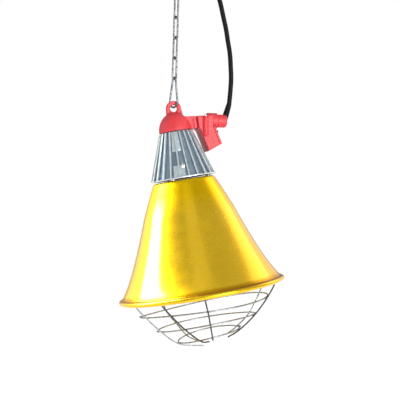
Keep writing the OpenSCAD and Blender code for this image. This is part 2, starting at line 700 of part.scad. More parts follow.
plug_outline = [[-7, 0], [-16.5, -10], [-17.6, -22], [-14, -plug_h], [14, -plug_h],
                [17.6, -22], [16.5, -10], [7, 0]];
module plug_body() color(black) translate(plug_at - [0, 0, plug_boot_h + 0.02]) difference() {
    union() {
        slab(13.6) polygon([for (p = plug_outline) [p.x * 0.93, p.y]]);
        slab(10) polygon(plug_outline);
    }
    for (x = [-pin_gap / 2, pin_gap / 2])
        translate([x, 0, -plug_h - 1]) cylinder(h = 9, r = pin_r - 0.25);
}

module plug_pins() color([0.8, 0.78, 0.7]) translate(plug_at - [0, 0, plug_boot_h + plug_h + 0.05])
    for (x = [-pin_gap / 2, pin_gap / 2])
        translate([x, 0, -pin_h]) {
            cylinder(h = pin_h, r = pin_r);
            translate([0, 0, pin_h - 0.1]) cylinder(h = 7.5, r = pin_r - 0.3);
            sphere(r = pin_r);
        }

s_hook();
chain_link(0);  // top_link
for (i = [1 : link_count - 1])
    chain_link(i);
pear_link();
head_cap();
switch_housing();
housing_screws();
switch_cover();
cover_screws();
switch_body();
rocker();
gland_nut();
gland_seal();
cord_boot();
terminal_block();
terminal_screws();
live_wire();
switched_wire();
neutral_wire();
holder_leads();
heat_washer();
cap_screws();
vent_cone();
holder_bracket();
bracket_screws();
holder_body();
screw_shell();
centre_contact();
holder_screws();
shade_spacers();
shade_screws();
reflector();
for (i = [0 : 2])
    guard_ring(i);
for (i = [0 : 5])
    guard_leg(i);
ring_laps();
cord_free();
cord_coil();
cord_tail();
chain_strap();
coil_tie();
plug_boot();
plug_body();
plug_pins();
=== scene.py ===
import math

import bmesh
import bpy
from mathutils import Matrix, Vector


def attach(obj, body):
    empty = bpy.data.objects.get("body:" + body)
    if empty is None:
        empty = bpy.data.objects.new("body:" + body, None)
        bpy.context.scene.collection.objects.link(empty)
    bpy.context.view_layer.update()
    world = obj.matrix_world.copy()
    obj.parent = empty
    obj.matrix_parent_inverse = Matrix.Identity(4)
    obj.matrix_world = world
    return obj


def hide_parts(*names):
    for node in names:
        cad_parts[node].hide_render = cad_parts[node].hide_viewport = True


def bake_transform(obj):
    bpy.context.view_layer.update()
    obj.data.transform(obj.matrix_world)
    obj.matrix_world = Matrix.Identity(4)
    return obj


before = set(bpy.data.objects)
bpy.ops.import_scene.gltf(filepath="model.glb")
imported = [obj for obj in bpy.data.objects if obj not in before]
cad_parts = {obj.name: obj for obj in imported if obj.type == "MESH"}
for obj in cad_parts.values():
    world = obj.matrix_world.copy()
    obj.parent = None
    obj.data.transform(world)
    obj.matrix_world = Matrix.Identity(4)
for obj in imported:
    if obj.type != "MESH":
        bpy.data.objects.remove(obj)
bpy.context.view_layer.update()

MM = 0.001
scene = bpy.context.scene
scene.view_settings.view_transform = "Standard"

# ---- Camera, level and square on to the front ----

camera = bpy.data.objects.new("camera", bpy.data.cameras.new("camera"))
scene.collection.objects.link(camera)
camera.location = (0.02563, -1.2, -0.42473)
camera.rotation_euler = (math.radians(90), 0, 0)
camera.data.sensor_width = 36
camera.data.lens = 85.37
camera.data.clip_start = 0.01
camera.data.dof.use_dof = False
scene.camera = camera

# ---- Frames: points are in millimetres ----

TILT = math.radians(9.3)    # The lamp hangs askew, held by its cord
LEAN = math.radians(1.7)    # The chain leans the other way
CHAIN_TOP = -38.55
LINK_PITCH = 25.7
LINK_COUNT = 9
LAMP = Matrix.Translation((-5.1662, -0.4838, -338.36)) @ Matrix.Rotation(-TILT, 4, "Y")


def turn_z(degrees):
    return Matrix.Rotation(math.radians(degrees), 4, "Z")


def chain_frame(down):
    """The frame of a place on the chain, a length down from its top."""
    top = Vector((-down * math.sin(LEAN), 0, CHAIN_TOP - down * math.cos(LEAN)))
    return Matrix.Translation(top) @ Matrix.Rotation(LEAN, 4, "Y")


def polar(r, degrees, z):
    a = math.radians(degrees)
    return Vector((r * math.cos(a), r * math.sin(a), z))


def place(line, matrix):
    return [matrix @ p for p in line]


def arc(centre, r, start, end, step):
    """An arc in the plane of X and Z, from one angle to another in degrees."""
    n = max(2, math.ceil(abs(end - start) / step))
    return [Vector((centre[0] + r * math.cos(math.radians(start + (end - start) * i / n)), 0,
                    centre[1] + r * math.sin(math.radians(start + (end - start) * i / n))))
            for i in range(n + 1)]


def bezier(p, steps):
    """Points along a cubic curve of radius and height."""
    for i in range(steps + 1):
        t = i / steps
        weights = ((1 - t) ** 3, 3 * t * (1 - t) ** 2, 3 * t * t * (1 - t), t ** 3)
        yield tuple(sum(w * q[k] for w, q in zip(weights, p)) for k in (0, 1))


def smooth_line(points, steps):
    """A Catmull-Rom line through the points."""
    p = [Vector(q) for q in points]
    q = [2 * p[0] - p[1]] + p + [2 * p[-1] - p[-2]]
    line = []
    for i in range(1, len(p)):
        for j in range(steps):
            t = j / steps
            line.append(0.5 * (2 * q[i] + (q[i + 1] - q[i - 1]) * t
                               + (2 * q[i - 1] - 5 * q[i] + 4 * q[i + 1] - q[i + 2]) * t * t
                               + (3 * q[i] - q[i - 1] - 3 * q[i + 1] + q[i + 2]) * t ** 3))
    return line + [p[-1]]


# ---- Meshes ----

TUBE_END = [(0.0, 0.45), (0.12, 0.8), (0.3, 1.0)]    # Place and radius, as shares
WELD_DROP = 2.3


def shade_smooth(mesh):
    for face in mesh.polygons:
        face.use_smooth = True


def add_object(name, bm):
    mesh = bpy.data.meshes.new(name)
    bmesh.ops.recalc_face_normals(bm, faces=bm.faces)
    bm.to_mesh(mesh)
    bm.free()
    shade_smooth(mesh)
    piece = bpy.data.objects.new(name, mesh)
    scene.collection.objects.link(piece)
    return piece


def sweep(bm, line, d, sides=14, closed=False, swell=None):
    """Adds a round tube along a line in millimetres, its open ends rounded over.

    The swell says, by a point's number, how many times the radius the tube has there."""
    line = [Vector(p) for p in line]
    n = len(line)
    radii = [d / 2 * (swell or {}).get(i, 1.0) for i in range(n)]
    if closed:
        tangents = [(line[(i + 1) % n] - line[i - 1]).normalized() for i in range(n)]
    else:
        tangents = [(line[min(i + 1, n - 1)] - line[max(i - 1, 0)]).normalized()
                    for i in range(n)]
        start, end = tangents[0], tangents[-1]
        reach = TUBE_END[-1][0]
        line = ([line[0] + start * d * (f - reach) for f, _ in TUBE_END] + line[1:-1]
                + [line[-1] - end * d * (f - reach) for f, _ in reversed(TUBE_END)])
        radii = ([radii[0] * k for _, k in TUBE_END] + radii[1:-1]
                 + [radii[-1] * k for _, k in reversed(TUBE_END)])
        tangents = [start] * len(TUBE_END) + tangents[1:-1] + [end] * len(TUBE_END)
        n = len(line)
    side = tangents[0].orthogonal().normalized()
    rings = []
    for i in range(n):
        side = (side - tangents[i] * side.dot(tangents[i])).normalized()
        other = tangents[i].cross(side)
        rings.append([])
        for k in range(sides):
            a = 2 * math.pi * k / sides
            across = math.cos(a) * side + math.sin(a) * other
            rings[-1].append(bm.verts.new((line[i] + radii[i] * across) * MM))
    if closed:
        twist = min(range(sides), key=lambda k: (rings[0][k].co - rings[-1][0].co).length)
    for i in range(n if closed else n - 1):
        j = (i + 1) % n
        shift = twist if closed and j == 0 else 0
        for k in range(sides):
            m = (k + 1) % sides
            bm.faces.new((rings[i][k], rings[i][m], rings[j][(m + shift) % sides],
                          rings[j][(k + shift) % sides]))
    if not closed:
        bm.faces.new(rings[0])
        bm.faces.new(rings[-1])


def tube(name, line, d, **options):
    bm = bmesh.new()
    sweep(bm, line, d, **options)
    return add_object(name, bm)


def lump(bm, centre, seed):
    """Adds a small uneven drop of weld metal."""
    made = bmesh.ops.create_icosphere(bm, subdivisions=2, radius=WELD_DROP / 2 * MM)
    for v in made["verts"]:
        p = v.co / MM
        v.co *= 1 + 0.12 * math.sin(5 * p.x + seed) * math.cos(4 * p.z + 2 * seed)
        v.co += centre * MM


def lathe(name, outline, turns):
    """A closed outline of radius and height, turned about the local Z axis."""
    bm = bmesh.new()
    rings = [[bm.verts.new(polar(r, 360 * k / turns, z) * MM) for r, z in outline]
             for k in range(turns)]
    for k in range(turns):
        a, b = rings[k], rings[(k + 1) % turns]
        for i in range(len(outline)):
            j = (i + 1) % len(outline)
            bm.faces.new((a[i], b[i], b[j], a[j]))
    return add_object(name, bm)


def copy_of(node, name):
    """A new object with the welded mesh of a CAD node."""
    bm = bmesh.new()
    bm.from_mesh(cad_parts[node].data)
    bmesh.ops.remove_doubles(bm, verts=bm.verts, dist=0.00001)
    bmesh.ops.dissolve_limit(bm, angle_limit=math.radians(0.5), verts=bm.verts, edges=bm.edges)
    return add_object(name, bm)


def bevelled(node, width, segments):
    """A CAD node with its hard edges rounded over."""
    piece = copy_of(node, node + "_finished")
    bevel = piece.modifiers.new("edges", "BEVEL")
    bevel.width = width * MM
    bevel.segments = segments
    bevel.limit_method = "ANGLE"
    bevel.angle_limit = math.radians(30)
    bevel.harden_normals = True
    bevel.use_clamp_overlap = True
    return piece


def moulded(node, voxel):
    """A CAD node remeshed and relaxed, as a moulding's edges are rounded."""
    piece = copy_of(node, node + "_moulded")
    remesh = piece.modifiers.new("remesh", "REMESH")
    remesh.mode = "VOXEL"
    remesh.voxel_size = voxel * MM
    remesh.use_smooth_shade = True
    relax = piece.modifiers.new("relax", "SMOOTH")
    relax.factor = 0.5
    relax.iterations = 9
    graph = bpy.context.evaluated_depsgraph_get()
    mesh = bpy.data.meshes.new_from_object(piece.evaluated_get(graph))
    piece.modifiers.clear()
    piece.data = mesh
    shade_smooth(mesh)
    return piece


def dress(piece, material):
    piece.data.materials.clear()
    piece.data.materials.append(material)


def stand_in(piece, node, body, material):
    """Puts a finished piece in the place of a CAD node."""
    dress(piece, material)
    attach(piece, body)
    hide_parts(node)


# ---- Materials ----

# The shade's own heights in metres: the crease above its rim, which gets painted shade, and the
# whole of it
SHADED_CREASE = (-0.2025, -0.1915)
SHADE_HEIGHT = (-0.206, -0.056)
# The cone in millimetres: its fins' radius, how that grows downwards, its grooves' depth
FIN_RADIUS = 21.0
FIN_SLOPE = 0.342
GROOVE_DEPTH = 3.2


class Shader:
    """A procedural material, built node by node."""

    def __init__(self, name, color, **values):
        self.material = bpy.data.materials.new(name)
        self.material.use_nodes = True
        self.tree = self.material.node_tree
        self.bsdf = self.tree.nodes["Principled BSDF"]
        self.bsdf.inputs["Base Color"].default_value = (*color, 1)
        for key, value in values.items():
            self.bsdf.inputs[key.replace("_", " ")].default_value = value
        self.coord = self.tree.nodes.new("ShaderNodeTexCoord").outputs["Object"]

    def node(self, kind, inputs=(), **settings):
        made = self.tree.nodes.new("ShaderNode" + kind)
        for key, value in settings.items():
            setattr(made, key, value)
        for socket, value in dict(inputs).items():
            if isinstance(value, bpy.types.NodeSocket):
                self.tree.links.new(value, made.inputs[socket])
            else:
                made.inputs[socket].default_value = value
        return made

    def link(self, output, name):
        self.tree.links.new(output, self.bsdf.inputs[name])

    def in_frame(self, matrix):
        """Coordinates in millimetres of a frame given by a matrix in millimetres."""
        spot = Matrix.Diagonal((MM, MM, MM, 1)) @ matrix
        return self.node("Mapping", {"Vector": self.coord, "Location": spot.to_translation(),
                                     "Rotation": spot.to_euler(), "Scale": spot.to_scale()},
                         vector_type="TEXTURE").outputs[0]

    def noise(self, scale, detail=3, stretch=(1, 1, 1), rough=0.5):
        stretched = self.node("Mapping", {"Vector": self.coord, "Scale": stretch})
        return self.node("TexNoise", {"Vector": stretched.outputs[0], "Scale": scale,
                                      "Detail": detail, "Roughness": rough}).outputs["Fac"]

    def share(self, value, low, high):
        """How far a value has come from low to high, kept between 0 and 1."""
        return self.node("MapRange", {"Value": value, "From Min": low,
                                      "From Max": high}).outputs[0]

    def ramp(self, factor, *stops):
        made = self.node("ValToRGB", {"Fac": factor})
        for i, (at, value) in enumerate(stops):
            color = value if isinstance(value, tuple) else (value, value, value)
            point = made.color_ramp.elements[i] if i < 2 else made.color_ramp.elements.new(at)
            point.position = at
            point.color = (*color, 1)
        return made.outputs[0]

    def math(self, operation, *values):
        return self.node("Math", dict(enumerate(values)), operation=operation).outputs[0]

    def multiply(self, a, b):
        """The product of two colours, which a Mix node takes as its inputs 6 and 7."""
        return self.node("Mix", {0: 1.0, 6: a, 7: b}, data_type="RGBA",
                         blend_type="MULTIPLY").outputs[2]

    def bump(self, height, strength, distance):
        made = self.node("Bump", {"Height": height, "Strength": strength, "Distance": distance})
        self.link(made.outputs[0], "Normal")


def plain(name, dark, light, scale, rough=(0.35, 0.5), bump=0.1, **values):
    """A surface that varies softly between two colours, with a fine grain."""
    s = Shader(name, light, **values)
    s.link(s.ramp(s.noise(scale, 4), (0.3, dark), (0.7, light)), "Base Color")
    s.link(s.ramp(s.noise(scale * 2.3, 3), (0.3, rough[0]), (0.7, rough[1])), "Roughness")
    s.bump(s.noise(scale * 6, 2), bump, 0.0002)
    return s.material


def zinc(name, dark, light, rough=(0.28, 0.45)):
    """Zinc plating: mottled, with dull spots and a fine grain."""
    s = Shader(name, light, Metallic=1.0)
    cloud = s.ramp(s.noise(260, 4), (0.35, dark), (0.65, light))
    spots = s.ramp(s.noise(900, 2), (0.62, 1.0), (0.75, 0.7))
    s.link(s.multiply(cloud, spots), "Base Color")
    s.link(s.ramp(s.noise(500, 3), (0.3, rough[0]), (0.7, rough[1])), "Roughness")
    s.bump(s.noise(1400, 2), 0.15, 0.0001)
    return s.material


def gold_shade():
    """Gold anodised aluminium, spun and satin, with painted shade in the crease above the rolled
    rim.

    Its clear coat fades in the crease and towards the neck."""
    s = Shader("gold_anodised", (0.8, 0.5, 0.02), Metallic=1.0, Coat_Roughness=0.15)
    cloud = s.ramp(s.noise(20, 5, (1, 1, 0.45), 0.6),
                   (0.3, (0.83, 0.51, 0.002)), (0.7, (0.91, 0.59, 0.007)))
    grain = s.ramp(s.noise(420, 3), (0.3, 0.95), (0.7, 1.0))
    height = s.node("SeparateXYZ", {0: s.coord}).outputs[2]
    # Painted shade: the base colour is darkened and browned in the crease above the rolled rim
    crease_shade = s.ramp(s.share(height, *SHADED_CREASE),
                    (0.0, 1.0), (0.14, 1.0), (0.3, (0.5, 0.36, 0.3)),
                    (0.52, (0.62, 0.5, 0.4)), (0.8, 1.0))
    s.link(s.multiply(s.multiply(cloud, grain), crease_shade), "Base Color")
    polish = s.ramp(s.share(height, *SHADE_HEIGHT),
                    (0.0, 0.5), (0.035, 0.4), (0.055, 0.05), (0.085, 0.55),
                    (0.66, 0.6), (0.84, 0.0))
    s.link(polish, "Coat Weight")
    s.link(s.ramp(s.noise(90, 3), (0.3, 0.26), (0.7, 0.29)), "Roughness")
    s.bump(s.noise(1.0, 3, (0, 0, 700)), 0.03, 0.0001)
    return s.material


def cast_cone():
    """Die-cast aluminium: bright on the fins' edges and pads, blue-grey in the grooves as painted
    shade.
    """
    s = Shader("cast_aluminium", (0.5, 0.55, 0.6), Metallic=0.85)
    x, y, z = s.node("SeparateXYZ", {0: s.in_frame(LAMP)}).outputs
    radius = s.math("SQRT", s.math("ADD", s.math("MULTIPLY", x, x), s.math("MULTIPLY", y, y)))
    tip = s.math("MULTIPLY_ADD", z, -FIN_SLOPE, FIN_RADIUS)
    inset = s.share(s.math("SUBTRACT", tip, radius), 0.0, GROOVE_DEPTH)
    # Painted shade: the colour darkens from the fins' edges into the grooves; the pads stay light
    groove_shade = s.ramp(inset,
                  (0.0, (0.88, 0.95, 0.98)), (0.12, (0.78, 0.87, 0.91)), (0.3, (0.58, 0.68, 0.73)),
                  (0.48, (0.88, 0.97, 1.0)), (0.56, (0.38, 0.47, 0.53)), (1.0, (0.27, 0.36, 0.43)))
    cloud = s.ramp(s.noise(160, 4), (0.3, 0.8), (0.7, 1.0))
    s.link(s.multiply(groove_shade, cloud), "Base Color")
    s.link(s.ramp(inset, (0.3, 0.85), (0.34, 0.15), (0.47, 0.15), (0.52, 0.85)), "Metallic")
    s.link(s.ramp(s.noise(400, 3), (0.3, 0.36), (0.7, 0.48)), "Roughness")
    s.bump(s.noise(1100, 3), 0.2, 0.0002)
    return s.material


def red_moulding():
    """Satin red moulding with a faint orange-peel surface."""
    s = Shader("red_moulding", (0.72, 0.03, 0.05), Coat_Weight=0.06, Coat_Roughness=0.2,
               Specular_IOR_Level=0.45, Subsurface_Weight=0.06,
               Subsurface_Radius=(0.004, 0.0012, 0.0012))
    s.link(s.ramp(s.noise(45, 4), (0.3, (0.6, 0.03, 0.042)), (0.7, (0.72, 0.048, 0.06))),
           "Base Color")
    s.link(s.ramp(s.noise(300, 3), (0.3, 0.43), (0.7, 0.53)), "Roughness")
    s.bump(s.noise(420, 2), 0.05, 0.0002)
    return s.material


def woven(name, dark, light):
    """Webbing with a fine two-way weave."""
    s = Shader(name, light, Roughness=0.85, Sheen_Weight=0.3)
    waves = [s.node("TexWave", {"Vector": s.coord, "Scale": 260, "Distortion": 0.4},
                    bands_direction=axis).outputs["Fac"] for axis in "XZ"]
    weave = s.math("MAXIMUM", *waves)
    s.link(s.ramp(weave, (0.2, dark), (0.9, light)), "Base Color")
    s.bump(weave, 0.6, 0.0003)
    return s.material


def cord_skin():
    """Black cable sheath, dull and faintly rubbed."""
    s = Shader("cord_sheath", (0.02, 0.021, 0.024), Specular_IOR_Level=0.16)
    s.link(s.ramp(s.noise(120, 4), (0.35, (0.0015, 0.002, 0.003)), (0.7, (0.005, 0.006, 0.008))),
           "Base Color")
    s.link(s.ramp(s.noise(260, 3), (0.3, 0.4), (0.7, 0.55)), "Roughness")
    s.bump(s.noise(700, 3), 0.15, 0.0002)
    return s.material


GOLD = gold_shade()
CONE = cast_cone()
RED = red_moulding()
CORD = cord_skin()
WEBBING = woven("webbing", (0.006, 0.007, 0.009), (0.03, 0.032, 0.04))
CHAIN_ZINC = zinc("chain_zinc", (0.13, 0.15, 0.16), (0.34, 0.37, 0.39))
# Shaded and lit copies of one guard wire: painted shade on the front legs, painted light on the
# rear legs
SHADED_LEG_ZINC = zinc("shaded_leg_zinc", (0.05, 0.055, 0.055), (0.14, 0.15, 0.15), (0.4, 0.55))
LIT_LEG_ZINC = zinc("lit_leg_zinc", (0.3, 0.36, 0.38), (0.5, 0.56, 0.58))
RING_ZINC = zinc("ring_zinc", (0.26, 0.29, 0.3), (0.46, 0.5, 0.51))
SCREW_ZINC = zinc("screw_zinc", (0.62, 0.63, 0.64), (0.85, 0.86, 0.87), (0.2, 0.35))
BRASS = plain("brass", (0.55, 0.38, 0.13), (0.75, 0.57, 0.25), 300, (0.25, 0.4), Metallic=1.0)
BLACK = plain("black_moulding", (0.012, 0.012, 0.014), (0.028, 0.028, 0.032), 200,
              (0.38, 0.5), 0.2)
RUBBER = plain("black_rubber", (0.012, 0.012, 0.012), (0.03, 0.03, 0.03), 220, (0.6, 0.75), 0.3)
CERAMIC = plain("glazed_ceramic", (0.78, 0.75, 0.68), (0.88, 0.86, 0.8), 90, (0.15, 0.25), 0.08)
BLOCK = plain("cream_moulding", (0.72, 0.7, 0.64), (0.82, 0.8, 0.75), 150, (0.4, 0.5), 0.15)
BOARD = plain("heat_board", (0.13, 0.1, 0.08), (0.24, 0.19, 0.15), 500, (0.7, 0.9), 0.5)
NICKEL = plain("nickel_plate", (0.62, 0.6, 0.55), (0.8, 0.78, 0.72), 400, (0.18, 0.3),
               Metallic=1.0)
WIRES = {
    "live_wire": plain("brown_insulation", (0.14, 0.06, 0.03), (0.2, 0.09, 0.04), 300),
    "switched_wire": plain("black_insulation", (0.012, 0.012, 0.012), (0.03, 0.03, 0.03), 300),
    "neutral_wire": plain("blue_insulation", (0.03, 0.08, 0.3), (0.05, 0.12, 0.42), 300),
    "holder_leads": plain("glass_sleeving", (0.7, 0.7, 0.68), (0.85, 0.85, 0.82), 900,
                          (0.6, 0.8), 0.4),
}

# ---- Supply cord ----

CORD_WIDTH = 6
# From the gland up to the coil
ROUTE = [
    (63, 17, -301.3), (64.5, 17, -286), (65.5, 17, -270), (65, 16.5, -254), (64, 16, -238),
    (61.5, 16, -222), (59, 15.5, -206), (55.5, 15, -190), (52, 14.5, -174), (47.5, 14, -158.5),
    (41.5, 13.5, -143.5), (34, 12.5, -129.5), (24.5, 12, -116.5), (13, 11, -104.5),
    (0.5, 10, -93.5), (-13, 9, -83.5), (-27.5, 8, -75.5), (-40.8, 6.5, -69.3),
]
COIL_AT = Vector((-54.9, 0, -108))
# From the coil's last turn to the plug, measured from the coil's middle
TAIL = [
    (15.4, -6, 26.7), (8, -8, 29.8), (0, -10, 30.6), (-6.5, -12.5, 29.8), (-12, -15.5, 27.4),
    (-17, -18.5, 23.6), (-21, -21.5, 18.6), (-23.2, -24, 12.8), (-24, -25.6, 6.6), (-24, -26, 2.2),
]
# Radius and sideways place of each turn of the coil, from the outside in
TURNS = [(41.2, 6), (41.2, 0), (41.2, -6), (36, -9), (36, -3), (36, 3), (36, 9),
         (30.8, 6), (30.8, 0), (30.8, -6)]
TURN_STEPS = 48
TURN_START = 70     # Where each turn begins, in degrees
CROSSING = 0.16     # The last share of a turn, in which the cord crosses to the next one


def coil_line():
    points = []
    for k, (r, y) in enumerate(TURNS):
        after = TURNS[min(k + 1, len(TURNS) - 1)]
        last = TURN_STEPS if k < len(TURNS) - 1 else TURN_STEPS - 1
        for i in range(last):
            u = i / TURN_STEPS
            t = min(max((u - (1 - CROSSING)) / CROSSING, 0), 1)
            t = t * t * (3 - 2 * t)
            a = math.radians(TURN_START + 360 * u)
            here = r + (after[0] - r) * t
            points.append(COIL_AT + Vector((here * math.cos(a), y + (after[1] - y) * t,
                                            here * math.sin(a))))
    return points


cord_path = (smooth_line(ROUTE, 4)[:-1] + coil_line()
             + smooth_line([COIL_AT + Vector(p) for p in TAIL], 4))
cord = tube("supply_cord", cord_path, CORD_WIDTH, sides=16)
dress(cord, CORD)
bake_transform(cord)
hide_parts("cord_free", "cord_coil", "cord_tail")

# ---- Hook, chain and pear link ----

HOOK_WIRE = 3.2
LINK_WIRE = 2.3
PEAR_WIRE = 2.5
# Centre lines in the plane of X and Z: the radius and depth of each wire's bends
LINK_R, LINK_TOP, LINK_FOOT = 3.15, -3.15, -24.95
PEAR_TOP_R, PEAR_TOP = 2.6, -2.6
PEAR_FOOT_R, PEAR_FOOT = 7, -31
PEAR_DOWN = 231.2   # The pear link's place along the chain

hook_line = arc((0, -34.4), 7, 418, 133.9, 6) + arc((0, -9.4), 11, -46.1, 195, 6)
hook = tube("hook_wire", place(hook_line, turn_z(-45)), HOOK_WIRE, sides=20)
stand_in(hook, "s_hook", "hanger", CHAIN_ZINC)

# A link's left side runs down and its right side up, past the swelling of its butt weld
link_line = (arc((0, LINK_TOP), LINK_R, 0, 180, 12)
             + [Vector((-LINK_R, 0, z)) for z in (-6, -11, -17, -22)]
             + arc((0, LINK_FOOT), LINK_R, 180, 360, 12)
             + [Vector((LINK_R, 0, z)) for z in (-22, -17.5, -15.6, -14.4, -13.2, -12, -10.4, -6)])
weld = {len(link_line) - back: size for back, size in ((6, 1.1), (5, 1.16), (4, 1.2), (3, 1.08))}
for i in range(LINK_COUNT):
    matrix = chain_frame(i * LINK_PITCH) @ turn_z(45 if i % 2 == 0 else -45)
    link = tube("chain_wire_%d" % i, place(link_line, matrix), LINK_WIRE, closed=True, swell=weld)
    stand_in(link, "top_link" if i == 0 else "chain_link_%d" % i,
             "top_link" if i == 0 else "chain", CHAIN_ZINC)

# The straight sides leave both bends at the angle at which they touch them
side_angle = math.degrees(math.asin((PEAR_FOOT_R - PEAR_TOP_R) / (PEAR_TOP - PEAR_FOOT)))
pear_line = (arc((0, PEAR_TOP), PEAR_TOP_R, -side_angle, 180 + side_angle, 10)
             + arc((0, PEAR_FOOT), PEAR_FOOT_R, 180 + side_angle, 360 - side_angle, 10))
pear = tube("pear_wire", place(pear_line, chain_frame(PEAR_DOWN) @ turn_z(-43)), PEAR_WIRE,
            sides=16, closed=True)
stand_in(pear, "pear_link", "chain", CHAIN_ZINC)

# ---- Guard, in the lamp's frame ----

RING_RADII = [81.4, 62.4, 39.6]
RING_DEPTHS = [223.4, 243.1, 258.9]
# How each ring waves up and down: shares of cos, sin, cos 2 and sin 2 of the angle
RING_SWAY = [(1.3, -1.7, 0.2, 1.7), (1, -2.2, -0.5, -0.4), (2.5, 1.2, -0.7, -0.3)]
# The angle of each leg at the rim and at the three rings
LEG_TURNS = [(-88, -87, -86, -84), (-120, -118, -114, -105), (-148, -149, -151, -157),
             (125, 129, 129, 134), (30, 28, 29, 27), (-18, -19, -21, -18)]
# Radius, angle and height of each leg's lower end
LEG_TAILS = [(35, -83, -262), (22, -92, -265.6), (14, -130, -271), (19, 140, -268),
             (27, 24, -263.4), (25, -20, -265.6)]
# Radius and height of each leg's top, from its toe inside the shade down past the rim
LEG_TOES = [(92.6, -193), (94.95, -196.1)]
LEG_KNEES = [(96.9, -199.2), (96.6, -205.2)]
# The rear legs, which take the painted-light copy of the leg wire
LIT_LEGS = (2, 3, 4)
LAP_ANGLES = [166, -172, 4]
LAP_SPAN = 700      # In degrees at a radius of 1
LAP_STEPS = 8
LAP_WIRE = 1.8
LAP_FLARE = 0.6     # How far a lap's end stands out more than its start
WIRE = 2.0
SUNK = 0.3          # How far a weld sinks one wire into another


def ring_point(i, degrees, out=0.0):
    a, w = math.radians(degrees), RING_SWAY[i]
    z = (-RING_DEPTHS[i] + w[0] * math.cos(a) + w[1] * math.sin(a)
         + w[2] * math.cos(2 * a) + w[3] * math.sin(2 * a))
    return polar(RING_RADII[i] + out, degrees, z)


def leg_cross(i, k):
    """Where a leg passes outside a ring, square to its own run."""
    turns, a = LEG_TURNS[i], LEG_TURNS[i][k + 1]
    r, z = LEG_KNEES[-1]
    before = polar(r, turns[0], z) if k == 0 else ring_point(k - 1, turns[k])
    after = polar(*LEG_TAILS[i]) if k == 2 else ring_point(k + 1, turns[k + 2])
    along = (after - before).normalized()
    level = polar(1, a, 0)
    return ring_point(k, a) + (level - along * level.dot(along)).normalized() * (WIRE - SUNK)


for i in range(len(RING_RADII)):
    ring = tube("ring_wire_%d" % (i + 1),
                place([ring_point(i, a) for a in range(0, 360, 4)], LAMP), WIRE,
                sides=12, closed=True)
    stand_in(ring, "guard_ring_%d" % (i + 1), "guard", RING_ZINC)

for i in range(len(LEG_TURNS)):
    t = LEG_TURNS[i][0]
    line = ([polar(r, t, z) for r, z in LEG_TOES]
            + smooth_line([polar(r, t, z) for r, z in LEG_KNEES]
                          + [leg_cross(i, 0), leg_cross(i, 1), leg_cross(i, 2),
                             polar(*LEG_TAILS[i])], 8))
    bm = bmesh.new()
    sweep(bm, place(line, LAMP), WIRE, sides=12)
    for k in range(3):
        touch = (leg_cross(i, k) + ring_point(k, LEG_TURNS[i][k + 1])) / 2
        lump(bm, LAMP @ touch, i + 2 * k)
    leg = add_object("leg_wire_%d" % (i + 1), bm)
    stand_in(leg, "guard_leg_%d" % (i + 1), "guard",
             LIT_LEG_ZINC if i in LIT_LEGS else SHADED_LEG_ZINC)

bm = bmesh.new()
for i, a in enumerate(LAP_ANGLES):
    span = LAP_SPAN / RING_RADII[i]
    line = [ring_point(i, a + span * t / LAP_STEPS, WIRE - SUNK + LAP_FLARE * t / LAP_STEPS)
            for t in range(LAP_STEPS + 1)]
    sweep(bm, place(line, LAMP), LAP_WIRE, sides=12)
    lump(bm, LAMP @ ring_point(i, a + 0.25 * span, 0.9), i)
laps = add_object("lap_wires", bm)
stand_in(laps, "ring_laps", "guard", RING_ZINC)

# ---- Shade: an outline of radius and height, down its outside and up its inside ----

WALL = 1.1
BEAD_AT = (102.6, -202.4)
BEAD_R = 3
SHADE_TURNS = 240

shoulder = list(bezier([(38.5, -61.7), (44, -73), (56, -98.5), (60, -110.5)], 14))
flare = list(bezier([(60, -110.5), (71, -140.5), (87.5, -182.5), (102, -199.6)], 30))
outer = ([(27, -61.7), (31, -61.7), (36.6, -61.7), (37.6, -61.85), (38.4, -62.4)]
         + shoulder[1:] + flare[1:-1])
bead = [(BEAD_AT[0] + BEAD_R * math.cos(math.radians(a)),
         BEAD_AT[1] + BEAD_R * math.sin(math.radians(a))) for a in range(112, -200, -12)]
inner = ([(r - WALL, z - 0.3) for r, z in reversed(flare[:-1])]
         + [(r - WALL, z) for r, z in reversed(shoulder[1:])]
         + [(37.2, -63.1), (36.4, -62.8), (27, -62.8)])
shade = lathe("spun_shade", outer + bead + inner, SHADE_TURNS)
shade.matrix_world = (Matrix.Diagonal((MM, MM, MM, 1)) @ LAMP
                      @ Matrix.Diagonal((1 / MM, 1 / MM, 1 / MM, 1)))
bpy.context.view_layer.update()
stand_in(shade, "reflector", "lamp", GOLD)

# ---- Mouldings, cone and small parts ----

for node, voxel in (("head_cap", 0.5), ("switch_housing", 0.5), ("gland_nut", 0.4)):
    stand_in(moulded(node, voxel), node, "lamp", RED)

# Node: the bevel's width and segments, then body, material and slot
BEVELS = {
    "switch_cover": (0.5, 2, "lamp", RED, "cap_plastic"),
    "vent_cone": (0.28, 2, "lamp", CONE, "cast_aluminium"),
    "housing_screws": (0.2, 2, "lamp", SCREW_ZINC, "screw_steel"),
    "cover_screws": (0.12, 2, "lamp", SCREW_ZINC, "screw_steel"),
    "bracket_screws": (0.25, 2, "lamp", SCREW_ZINC, "screw_steel"),
    "shade_screws": (0.25, 2, "lamp", SCREW_ZINC, "screw_steel"),
    "shade_spacers": (0.2, 2, "lamp", SCREW_ZINC, "screw_steel"),
    "switch_body": (0.4, 2, "lamp", BLACK, "switch_plastic"),
    "holder_body": (0.6, 2, "lamp", CERAMIC, "holder_ceramic"),
    "rocker": (0.4, 2, "rocker", BLACK, "switch_plastic"),
    "cord_boot": (0.3, 2, "lamp", CORD, "cord_plastic"),
    "plug_boot": (0.3, 2, "chain", CORD, "cord_plastic"),
    "plug_body": (1.2, 3, "chain", BLACK, "plug_plastic"),
    "chain_strap": (0.35, 2, "chain", WEBBING, "strap_fabric"),
    "coil_tie": (0.35, 2, "chain", WEBBING, "strap_fabric"),
}
for node, (width, segments, body, material, slot) in BEVELS.items():
    stand_in(bevelled(node, width, segments), node, body, material)

